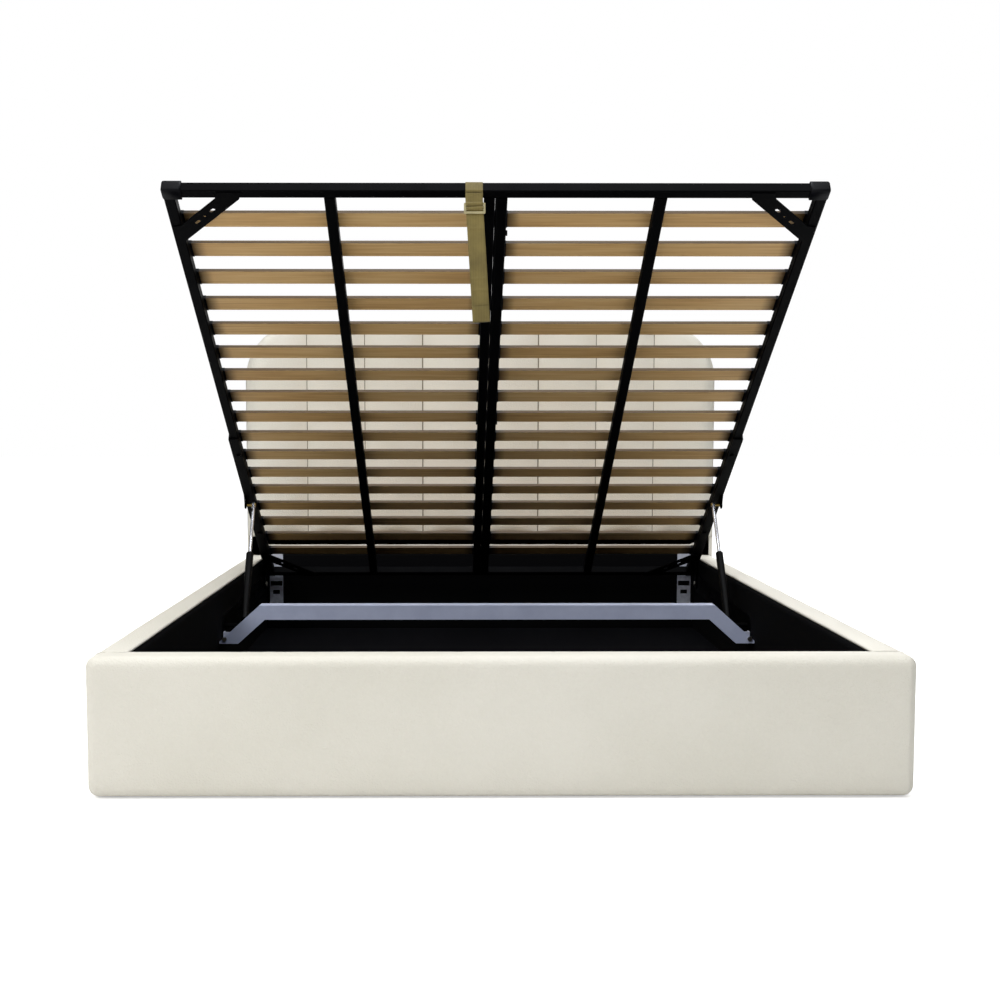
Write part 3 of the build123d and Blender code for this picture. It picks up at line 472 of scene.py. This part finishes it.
# Padded footboard and side rails: rounded outer edges, soft waves and a recess for the lining
def padded_panel(name, low, high, wall_axis, inner, node_name):
    bm = bmesh.new()
    block(bm, low, high)
    side = 1 if inner > (low[wall_axis] + high[wall_axis]) / 2 else -1
    outer = high[wall_axis] if side < 0 else low[wall_axis]
    run_axis = 1 - wall_axis
    outer_edges = []
    for edge in bm.edges:
        a, b = edge.verts[0].co, edge.verts[1].co
        on_outer = abs(a[wall_axis] - outer) < 1e-6 and abs(b[wall_axis] - outer) < 1e-6
        on_top = min(a.z, b.z) > high[2] - 1e-6
        on_bottom = max(a.z, b.z) < low[2] + 1e-6
        along_run = abs(a[run_axis] - b[run_axis]) > 0.1
        on_end = (on_top or on_bottom) and wall_axis == 1 and not along_run
        if on_end or on_outer and (wall_axis == 1 or along_run):
            outer_edges.append(edge)
    round_off(bm, outer_edges, panel_round, 7)
    inner_edge = [
        e for e in bm.edges
        if all(abs(v.co[wall_axis] - inner) < 1e-6 and v.co.z > high[2] - 1e-6 for v in e.verts)
    ]
    round_off(bm, inner_edge, panel_inner_round, 3)
    slice_at(bm, run_axis, steps(low[run_axis], high[run_axis], 96))
    slice_at(bm, 2, steps(low[2] + panel_round, high[2] - panel_round, 12) + [lining_top])
    slice_at(bm, wall_axis, steps(low[wall_axis] + panel_round, high[wall_axis] - 0.008, 3))
    if wall_axis == 1:
        slice_at(bm, 0, [-inner_x, inner_x])
    bmesh.ops.remove_doubles(bm, verts=bm.verts, dist=1e-5)
    for v in bm.verts:
        if abs(v.co[wall_axis] - inner) < 1e-5:
            within = wall_axis == 0 or abs(v.co.x) < inner_x + 1e-5
            if v.co.z < lining_top + 1e-5 and within:
                v.co[wall_axis] -= side * lining_recess
            continue
        if v.co.z < glide_height + 1e-4:
            continue
        v.co[wall_axis] += side * (0.0008 + waves(v.co, 0.0008))
        if v.co.z > high[2] - 0.02:
            v.co.z -= 0.0008 + waves(v.co, 0.0008, 0.12)
    piece = new_piece(name, bm, cream_leathercloth, "bed_box")
    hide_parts(node_name)


padded_panel(
    "footboard_upholstery", (-half_width, front_y, glide_height), (half_width, foot_inner_y, box_height),
    1, foot_inner_y, "footboard_cover",
)
padded_panel(
    "side_rail_upholstery_left", (-half_width, foot_inner_y, glide_height), (-inner_x, board_front_y, box_height),
    0, -inner_x, "side_rail_cover_left",
)
padded_panel(
    "side_rail_upholstery_right", (inner_x, foot_inner_y, glide_height), (half_width, board_front_y, box_height),
    0, inner_x, "side_rail_cover_right",
)


# Black linings, stretched over the inside faces and stapled, so each bellies a little between its staples
def lining_cloth(name, start, end, outward, node_name):
    thickness = 0.0012
    run = Vector(end) - Vector(start)
    out = Vector(outward)
    width = run.length
    height = lining_top - glide_height
    bm = bmesh.new()
    bmesh.ops.create_grid(bm, x_segments=72, y_segments=16, size=0.5)
    for v in bm.verts:
        across, up = v.co.x + 0.5, v.co.y + 0.5
        slack = math.sin(math.pi * up) * (0.5 + 0.5 * math.sin(across * width * 2 * math.pi / 0.14))
        depth = 0.0006 - 0.0003 * slack - waves((across * width, up, 0), 0.0002)
        v.co = Vector(start) + run * across + Vector((0, 0, glide_height + up * height)) + out * depth
    bmesh.ops.recalc_face_normals(bm, faces=bm.faces)
    bmesh.ops.solidify(bm, geom=bm.faces[:], thickness=thickness)
    piece = new_piece(name, bm, black_lining, "bed_box")
    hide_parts(node_name)


lining_cloth(
    "footboard_lining_cloth", (-inner_x, foot_inner_y, 0), (inner_x, foot_inner_y, 0), (0, -1, 0),
    "footboard_lining",
)
lining_cloth(
    "side_rail_lining_cloth_left", (-inner_x, foot_inner_y, 0), (-inner_x, board_front_y, 0), (-1, 0, 0),
    "side_rail_lining_left",
)
lining_cloth(
    "side_rail_lining_cloth_right", (inner_x, foot_inner_y, 0), (inner_x, board_front_y, 0), (1, 0, 0),
    "side_rail_lining_right",
)


# Pale wrapped edge along the top of the rear panel, with its gathered end standing up at the right
def rear_edge_wrap():
    bm = bmesh.new()
    top = rear_panel_top + rear_trim_height
    block(bm, (-inner_x, rear_face_y, rear_panel_top), (inner_x, board_front_y, top))
    upper = [
        e for e in bm.edges
        if all(v.co.z > top - 1e-6 for v in e.verts) and abs(e.verts[0].co.x - e.verts[1].co.x) > 0.1
    ]
    round_off(bm, upper, 0.004, 4)
    slice_at(bm, 0, steps(-inner_x, inner_x, 120))
    for v in bm.verts:
        if v.co.z > rear_panel_top + 1e-5:
            v.co.z += waves(v.co, 0.0006, 0.05) - 0.0006
            if v.co.y < rear_face_y + 0.004:
                v.co.y += 0.0004 + waves(v.co, 0.0003, 0.04)
        if v.co.x > inner_x - 0.012 and v.co.z > top - 0.006:
            v.co.z += 0.006
    piece = new_piece("rear_panel_edge_wrap", bm, cream_leathercloth, "bed_box")
    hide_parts("rear_panel_trim")


rear_edge_wrap()


# Headboard cushion: eight sewn channels, full in the middle and drawn in at the seams
def outline_top(x):
    """Height of the headboard's outline at a distance from its middle."""
    over = min(max(abs(x) - (headboard_half - headboard_corner), 0.0), headboard_corner)
    return headboard_height - headboard_corner + math.sqrt(headboard_corner ** 2 - over ** 2)


def rim_distance(x, z):
    """How far a point of the headboard's front lies inside its top and sides."""
    corner_x = headboard_half - headboard_corner
    corner_z = headboard_height - headboard_corner
    if abs(x) > corner_x and z > corner_z:
        return headboard_corner - math.hypot(abs(x) - corner_x, z - corner_z)
    return min(headboard_half - abs(x), headboard_height - z)


def rounded(distance, radius):
    """Share of full thickness near an edge that is rounded over a radius."""
    short = 1 - min(max(distance, 0.0) / radius, 1.0)
    return math.sqrt(1 - short * short)


def cushion_depth(x, z, across):
    """Padding in front of the board at a place; across counts channels from the middle."""
    place = abs(across - round(across)) * 2
    if abs(across) > channel_count / 2 - 1:
        place = min((abs(across) - channel_count / 2 + 1) * 2, 1.0)
    fullness = math.sin(math.pi / 2 * place) ** 0.55
    full = seam_depth + (crown_depth - seam_depth) * fullness
    foot_round = full * (0.30 + 0.70 * fullness)
    return full * rounded(z - cushion_bottom, foot_round) * rounded(rim_distance(x, z), headboard_edge_round)


def swell(bm, held, cap):
    """Lets the cover swell over its padding with a cloth simulation, then eases its small buckles.
    Held points stay, and no point moves further than the cap."""
    data = bpy.data.meshes.new("cover_blank")
    bm.to_mesh(data)
    blank = bpy.data.objects.new("cover_blank", data)
    bpy.context.scene.collection.objects.link(blank)
    group = blank.vertex_groups.new(name="held")
    group.add(held, 1.0, "REPLACE")
    cloth = blank.modifiers.new("cloth", "CLOTH")
    cloth.settings.quality = 4
    cloth.settings.tension_stiffness = 20
    cloth.settings.compression_stiffness = 12
    cloth.settings.shear_stiffness = 6
    cloth.settings.bending_stiffness = 0.4
    cloth.settings.shrink_min = -0.003
    cloth.settings.use_pressure = True
    cloth.settings.uniform_pressure_force = 4
    cloth.settings.vertex_group_mass = "held"
    cloth.settings.effector_weights.gravity = 0
    cloth.collision_settings.use_collision = False
    for moment in range(1, 21):
        bpy.context.scene.frame_set(moment)
    shaped = blank.evaluated_get(bpy.context.evaluated_depsgraph_get()).to_mesh()
    for v, moved in zip(bm.verts, shaped.vertices):
        move = moved.co - v.co
        if move.length > cap:
            move *= cap / move.length
        move.y = min(move.y, 0.002)
        v.co += move
    bm.verts.ensure_lookup_table()
    pinned = set(held)
    free = [v for v in bm.verts if v.index not in pinned]
    for _ in range(8):
        bmesh.ops.smooth_vert(bm, verts=free, factor=0.5, use_axis_x=True, use_axis_y=True, use_axis_z=True)
    bpy.data.objects.remove(blank)
    bpy.context.scene.frame_set(1)


def headboard_cushion():
    per_channel = 20
    rows = 92
    columns = channel_count * per_channel
    seams = channel_count / 2 - 1
    bm = bmesh.new()
    bmesh.ops.create_grid(bm, x_segments=columns, y_segments=rows, size=0.5)
    bm.verts.ensure_lookup_table()
    held = []
    for v in bm.verts:
        across = v.co.x * channel_count
        x = across * channel_pitch
        if abs(across) > seams:
            inner = seams * channel_pitch
            x = math.copysign(inner + (abs(across) - seams) * (headboard_half - inner), across)
        up = v.co.y + 0.5
        up -= 0.06 * math.sin(2 * math.pi * up)
        z = cushion_bottom + up * (outline_top(x) - cushion_bottom)
        on_seam = abs(across - round(across)) < 1e-4 and abs(across) < seams + 0.5
        if on_seam or v.is_boundary:
            held.append(v.index)
        y = board_front_y - cushion_depth(x, z, across) - waves((x, 0, z), 0.0005, 0.11) * (not on_seam)
        v.co = Vector((x, min(y, board_front_y), z))
    bm.normal_update()
    for face in bm.faces:
        if face.normal.y > 0:
            face.normal_flip()
    swell(bm, held, 0.006)
    bmesh.ops.subdivide_edges(bm, edges=bm.edges[:], cuts=1, use_grid_fill=True, smooth=0.7)
    rim = [e for e in bm.edges if e.is_boundary]
    for v in {v for e in rim for v in e.verts}:
        v.co.y = board_front_y
    bmesh.ops.contextual_create(bm, geom=rim)
    piece = new_piece("headboard_channel_cushion", bm, cream_leathercloth, "bed_box")
    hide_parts("headboard_cushion")


headboard_cushion()


# Sewn seams in the valleys between the channels: a taupe thread, 5 mm stitches
def headboard_seams():
    bm = bmesh.new()
    for i in range(1, channel_count):
        across = i - channel_count / 2
        x = across * channel_pitch
        low = cushion_bottom + 0.006
        high = outline_top(x) - 0.006
        made = bmesh.ops.create_grid(bm, x_segments=4, y_segments=int((high - low) / (stitch_length / 2)), size=0.5)
        for v in made["verts"]:
            u = v.co.x * 2
            z = low + (v.co.y + 0.5) * (high - low)
            lift = 0.0009 + 0.0003 * math.sin(z * 2 * math.pi / stitch_length)
            bow = math.sqrt(max(1 - u * u, 0.0))
            v.co = Vector((x + u * 0.0017, board_front_y - cushion_depth(x, z, across) - lift * bow, z))
    bmesh.ops.recalc_face_normals(bm, faces=bm.faces)
    bmesh.ops.solidify(bm, geom=bm.faces[:], thickness=0.0006)
    new_piece("headboard_seam_thread", bm, seam_thread, "bed_box")


headboard_seams()


# Wrapped back of the headboard: the same outline with a small round on its rear edge
def headboard_back():
    bm = bmesh.new()
    corner_x = headboard_half - headboard_corner
    corner_z = headboard_height - headboard_corner
    foot = bm.verts.new((headboard_half, board_front_y, glide_height))
    rise = bm.verts.new((headboard_half, board_front_y, corner_z))
    bm.edges.new((foot, rise))
    bmesh.ops.spin(
        bm, geom=[rise], cent=(corner_x, board_front_y, corner_z), axis=(0, -1, 0), angle=math.pi / 2, steps=16,
    )
    bmesh.ops.mirror(bm, geom=bm.verts[:] + bm.edges[:], axis="X", merge_dist=0.0)
    for height in (headboard_height, glide_height):
        ends = [v for v in bm.verts if abs(v.co.z - height) < 1e-4]
        bm.edges.new((min(ends, key=lambda v: v.co.x), max(ends, key=lambda v: v.co.x)))
    face = bmesh.ops.contextual_create(bm, geom=bm.edges[:])["faces"]
    made = bmesh.ops.extrude_face_region(bm, geom=face)
    for v in made["geom"]:
        if isinstance(v, bmesh.types.BMVert):
            v.co.y = back_y
    rear = [e for e in bm.edges if all(abs(v.co.y - back_y) < 1e-6 for v in e.verts)]
    round_off(bm, rear, 0.007, 4)
    piece = new_piece("headboard_rear_upholstery", bm, cream_leathercloth, "bed_box", False)
    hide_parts("headboard_back_cover")


headboard_back()


def lid_space():
    """Turns (across, towards the head, up from the underside) at the lid's head end into the frame."""
    return Matrix.Translation((0, head_end_y, head_end_z)) @ Matrix.Rotation(-opening, 4, "X")


# Moulded caps over the lid's foot corners and plugs in its head ends
def corner_caps():
    bm = bmesh.new()
    wall = 0.0025
    for side in (-1, 1):
        near = side * (frame_half - 0.042)
        far = side * (frame_half + wall)
        low = (min(near, far), -(frame_length + 0.005), -wall)
        high = (max(near, far), -(frame_length - 0.027), tube_size + wall)
        verts = block(bm, low, high)
        outer = [
            e for e in {e for v in verts for e in v.link_edges}
            if all(abs(v.co.x - far) < 1e-6 for v in e.verts) or all(v.co.y < low[1] + 1e-6 for v in e.verts)
        ]
        round_off(bm, outer, 0.006, 4)
    for side in (-1, 1):
        middle = side * (frame_half - tube_size / 2)
        verts = block(bm, (middle - tube_size / 2, 0, 0), (middle + tube_size / 2, 0.003, tube_size))
        round_off(bm, list({e for v in verts for e in v.link_edges}), 0.001, 2)
    bmesh.ops.transform(bm, matrix=lid_space(), verts=bm.verts)
    piece = new_piece("frame_corner_caps", bm, black_plastic, "lid")
    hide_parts("corner_caps")


corner_caps()


# Slat holders: open sockets over each slat's end, their mouths drawn in round the slat,
# and a strip of buffer tape between the two halves of the lid
def slat_holders(name, spans, node_name):
    bm = bmesh.new()
    for row in range(slat_rows):
        along = frame_length - first_slat_from_foot - row * slat_pitch
        for low, high, mouths in spans:
            near = (low, -along - holder_half, tube_size)
            far = (high, -along + holder_half, tube_size + holder_height)
            verts = block(bm, near, far)
            edges = {e for v in verts for e in v.link_edges}
            across = [e for e in edges if abs(e.verts[0].co.x - e.verts[1].co.x) > 1e-4]
            round_off(bm, across, 0.0012, 2)
    bm.faces.ensure_lookup_table()
    ends = []
    for low, high, mouths in spans:
        for mouth in mouths:
            ends += [
                f for f in bm.faces
                if all(abs(v.co.x - mouth) < 1e-6 for v in f.verts) and f.calc_area() > 1e-4
            ]
    bmesh.ops.inset_individual(bm, faces=ends, thickness=0.0011)
    for face in ends:
        deep = -holder_depth if face.normal.x > 0 else holder_depth
        for v in face.verts:
            v.co.x += deep
    if node_name == "centre_slat_holders":
        verts = block(bm, (-0.0004, -(frame_length - tube_size), 0.004), (0.0012, -tube_size, 0.021))
        round_off(bm, list({e for v in verts for e in v.link_edges}), 0.0004, 1)
    bmesh.ops.transform(bm, matrix=lid_space(), verts=bm.verts)
    piece = new_piece(name, bm, black_plastic, "lid", False)
    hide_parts(node_name)


holder_in = frame_half - tube_size - 0.0035
holder_out = frame_half - tube_size + 0.018
slat_holders(
    "side_slat_sockets",
    [(holder_in, holder_out, [holder_in]), (-holder_out, -holder_in, [-holder_in])],
    "side_slat_holders",
)
slat_holders(
    "centre_slat_sockets",
    [(-centre_holder_half, centre_holder_half, [-centre_holder_half, centre_holder_half])],
    "centre_slat_holders",
)


# Pull strap: webbing looped round the foot tube, and its tail through a slider, with a sewn hem
strap_band = tube_size + 2 * (strap_thickness + face_gap)
tail_top = lid_space() @ Vector((
    0, -(frame_length - tube_size / 2 + strap_band / 2 - strap_loop_radius),
    tube_size / 2 - strap_band / 2 - face_gap - strap_thickness / 2,
))


def loop_point(share):
    """A point on the loop's middle line about the tube's middle: how far up, and how far to the foot."""
    reach = (strap_band - strap_thickness) / 2
    radius = strap_loop_radius - strap_thickness / 2
    straight = 2 * (reach - radius)
    side = straight + math.pi / 2 * radius
    quarter, place = divmod(share * 4 * side, side)
    if place <= straight:
        point = Vector((reach + 0.0003 * math.sin(math.pi * place / straight), place - straight / 2))
    else:
        turn = (place - straight) / radius
        point = Vector((reach - radius + radius * math.cos(turn), straight / 2 + radius * math.sin(turn)))
    point.rotate(Matrix.Rotation(quarter * math.pi / 2, 2))
    return point


def strap_loop():
    bm = bmesh.new()
    bmesh.ops.create_grid(bm, x_segments=12, y_segments=72, size=0.5)
    for v in bm.verts:
        point = loop_point((v.co.y + 0.5) % 1.0)
        along = frame_length - tube_size / 2 + point.y
        v.co = Vector((strap_place + v.co.x * strap_width, -along, tube_size / 2 + point.x))
    bmesh.ops.remove_doubles(bm, verts=bm.verts, dist=1e-5)
    bmesh.ops.recalc_face_normals(bm, faces=bm.faces)
    bmesh.ops.solidify(bm, geom=bm.faces[:], thickness=strap_thickness * 0.8)
    bmesh.ops.transform(bm, matrix=lid_space(), verts=bm.verts)
    piece = new_piece("strap_loop_webbing", bm, khaki_webbing, "lid")
    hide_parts("strap_loop")


strap_loop()


def tail_place(across, down, front):
    """A point on the tail: across its width, down from the loop, and in front of its middle line."""
    past = down - slider_drop
    over_bar = 0.0
    for bar in (-0.0095, 0.0):
        gap = (0.0046 - abs(past - bar)) / 0.0018
        over_bar = max(over_bar, min(max(gap, 0.0), 1.0))
    belly = max(math.sin(math.pi * (down - 0.05) / (strap_length - 0.05)), 0.0) if down > 0.05 else 0.0
    creases = sum(math.exp(-((down - place) / 0.003) ** 2) for place in (0.078, 0.189, 0.215))
    cupped = 0.0006 * belly * (2 * across / strap_width) ** 2
    out = front + 0.0042 * over_bar + 0.0028 * belly + 0.0006 * creases + cupped
    lean = strap_lean * min(max((down - strap_lean_start) / 0.01, 0.0), 1.0)
    x = strap_place + max(down - strap_lean_start, 0.0) * math.tan(strap_lean) + across * math.cos(lean)
    return Vector((x, tail_top.y - out, tail_top.z - down + across * math.sin(lean)))


def strap_tail():
    fold = 0.0011
    run = strap_length - fold
    turn = math.pi * fold
    bm = bmesh.new()
    bmesh.ops.create_grid(bm, x_segments=10, y_segments=230, size=0.5)
    for v in bm.verts:
        far = (0.5 - v.co.y) * (run + turn + hem_length)
        down, front = far, 0.0
        if far > run + turn:
            down, front = 2 * run + turn - far, 2 * fold
        elif far > run:
            angle = (far - run) / fold
            down, front = run + fold * math.sin(angle), fold * (1 - math.cos(angle))
        v.co = tail_place(v.co.x * strap_width, down, front)
    bmesh.ops.recalc_face_normals(bm, faces=bm.faces)
    bmesh.ops.solidify(bm, geom=bm.faces[:], thickness=strap_thickness * 0.8)
    piece = new_piece("strap_tail_webbing", bm, khaki_webbing, "strap")
    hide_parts("strap_tail")

    bm = bmesh.new()
    rows = [(x, d, True) for x in steps(-0.018, 0.018, 9) for d in (0.006, 0.028)]
    rows += [(side * 0.0155, d, False) for side in (-1, 1) for d in steps(0.006, 0.028, 6)]
    for across, up, level in rows:
        half = Vector((0.0015, 0.0003, 0.0004)) if level else Vector((0.0004, 0.0003, 0.0015))
        spot = tail_place(across, strap_length - up, 2 * fold + strap_thickness * 0.45)
        verts = block(bm, spot - half, spot + half)
        round_off(bm, list({e for v in verts for e in v.link_edges}), 0.0002, 1)
    stitches = new_piece("strap_hem_stitches", bm, khaki_thread, "strap")


strap_tail()


# Floor, light and camera
def studio():
    bm = bmesh.new()
    bmesh.ops.create_grid(bm, x_segments=1, y_segments=1, size=30.0)
    data = bpy.data.meshes.new("studio_floor")
    bm.to_mesh(data)
    bm.free()
    floor = bpy.data.objects.new("studio_floor", data)
    bpy.context.scene.collection.objects.link(floor)

    made = bpy.data.materials.new("pale_painted_floor")
    made.use_nodes = True
    tree = made.node_tree
    tree.nodes.clear()
    matt = add_node(tree, "ShaderNodeBsdfDiffuse", {"Color": linear("#F4F4F4")})
    lift = add_node(tree, "ShaderNodeEmission", {"Color": (1, 1, 1, 1), "Strength": 0.5})
    both = add_node(tree, "ShaderNodeAddShader", {}, {0: matt.outputs["BSDF"], 1: lift.outputs["Emission"]})
    path = add_node(tree, "ShaderNodeLightPath")
    choose = add_node(
        tree, "ShaderNodeMixShader", {},
        {0: path.outputs["Is Camera Ray"], 1: matt.outputs["BSDF"], 2: both.outputs["Shader"]},
    )
    add_node(tree, "ShaderNodeOutputMaterial", links={"Surface": choose.outputs["Shader"]})
    floor.data.materials.append(made)

    world = bpy.data.worlds.new("white_studio")
    bpy.context.scene.world = world
    world.use_nodes = True
    tree = world.node_tree
    tree.nodes.clear()
    path = add_node(tree, "ShaderNodeLightPath")
    way = add_node(tree, "ShaderNodeTexCoord")
    height = add_node(tree, "ShaderNodeSeparateXYZ", {}, {0: way.outputs["Generated"]})
    rise = add_node(
        tree, "ShaderNodeMapRange", {"From Min": 0.52, "From Max": 1.0, "To Min": 0.03, "To Max": 1.5},
        {"Value": height.outputs["Z"]},
    )
    dim = add_node(
        tree, "ShaderNodeBackground", {"Color": (1, 1, 1, 1)}, {"Strength": rise.outputs["Result"]}
    )
    bright = add_node(tree, "ShaderNodeBackground", {"Color": (1, 1, 1, 1), "Strength": 1.0})
    choose = add_node(
        tree, "ShaderNodeMixShader", {},
        {0: path.outputs["Is Camera Ray"], 1: dim.outputs["Background"], 2: bright.outputs["Background"]},
    )
    add_node(tree, "ShaderNodeOutputWorld", links={"Surface": choose.outputs["Shader"]})

    plain, cool = (1.0, 1.0, 1.0), (0.86, 0.92, 1.0)
    for name, spot, aim, size, power, tint in (
        ("key_softbox", (-3.0, -3.4, 2.9), (0, -0.6, 0.2), 2.0, 76.0, plain),
        ("front_softbox", (0.2, -2.3, 4.0), (0.1, -2.3, 0), 2.4, 52.0, cool),
        ("rear_softbox", (0.1, 0.1, 3.4), (0, 0.9, 0.8), 1.6, 42.0, cool),
        ("back_softbox", (1.4, 4.4, 2.4), (0, 1.0, 0.6), 2.4, 60.0, plain),
    ):
        lamp = bpy.data.lights.new(name, "AREA")
        lamp.shape = "SQUARE"
        lamp.size = size
        lamp.energy = power
        lamp.color = tint
        holder = bpy.data.objects.new(name, lamp)
        bpy.context.scene.collection.objects.link(holder)
        holder.location = spot
        way = Vector(aim) - Vector(spot)
        holder.rotation_euler = way.to_track_quat("-Z", "Y").to_euler()


studio()

scene = bpy.context.scene
scene.view_settings.view_transform = "Standard"
camera_data = bpy.data.cameras.new("camera")
camera_data.sensor_width = 36.0
camera_data.lens = 49.564
camera_data.shift_x = 0.0391
camera_data.shift_y = 0.0379
camera_data.clip_end = 200.0
camera = bpy.data.objects.new("camera", camera_data)
scene.collection.objects.link(camera)
camera.location = (-0.0973, -3.7761, 0.7388)
camera.rotation_euler = (math.radians(90 - 4.6271), 0.0, math.radians(-0.3440))
scene.camera = camera
